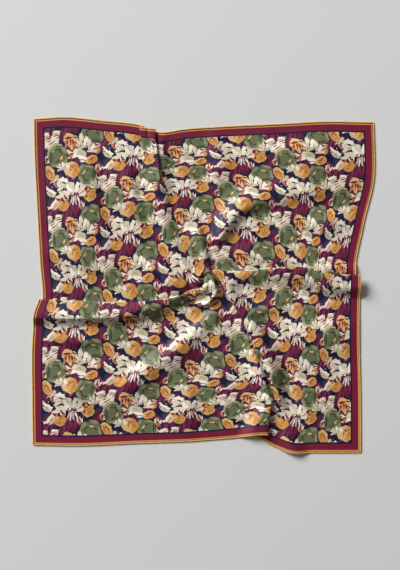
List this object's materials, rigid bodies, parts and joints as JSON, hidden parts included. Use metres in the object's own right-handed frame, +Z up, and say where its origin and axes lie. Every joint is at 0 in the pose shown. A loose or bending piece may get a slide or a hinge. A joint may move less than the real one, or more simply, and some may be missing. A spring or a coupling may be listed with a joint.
{
  "type": "silk square scarf",
  "caption": "Square silk twill scarf with hand-rolled hems and a floral print, laid flat with a swirl pinched up at its middle and four pleats running to the hems",
  "frame": {"origin": "on the surface the scarf lies on, at the middle of the rectangle that it covers", "axes": "+Z up from the surface, +X east and +Y north along the sides of that rectangle"},
  "size_m": [0.8599, 0.8422, 0.0248],
  "materials": {
    "printed_silk_twill": "satin silk twill, printed with a floral field, a navy line and a burgundy border",
    "ochre_silk_hem": "satin silk twill, printed ochre and rolled by hand"
  },
  "bodies": {
    "root": {"silk_panel": "printed_silk_twill", "hem_north": "ochre_silk_hem", "hem_east": "ochre_silk_hem", "hem_south": "ochre_silk_hem", "hem_west": "ochre_silk_hem"}
  },
  "joints": []
}
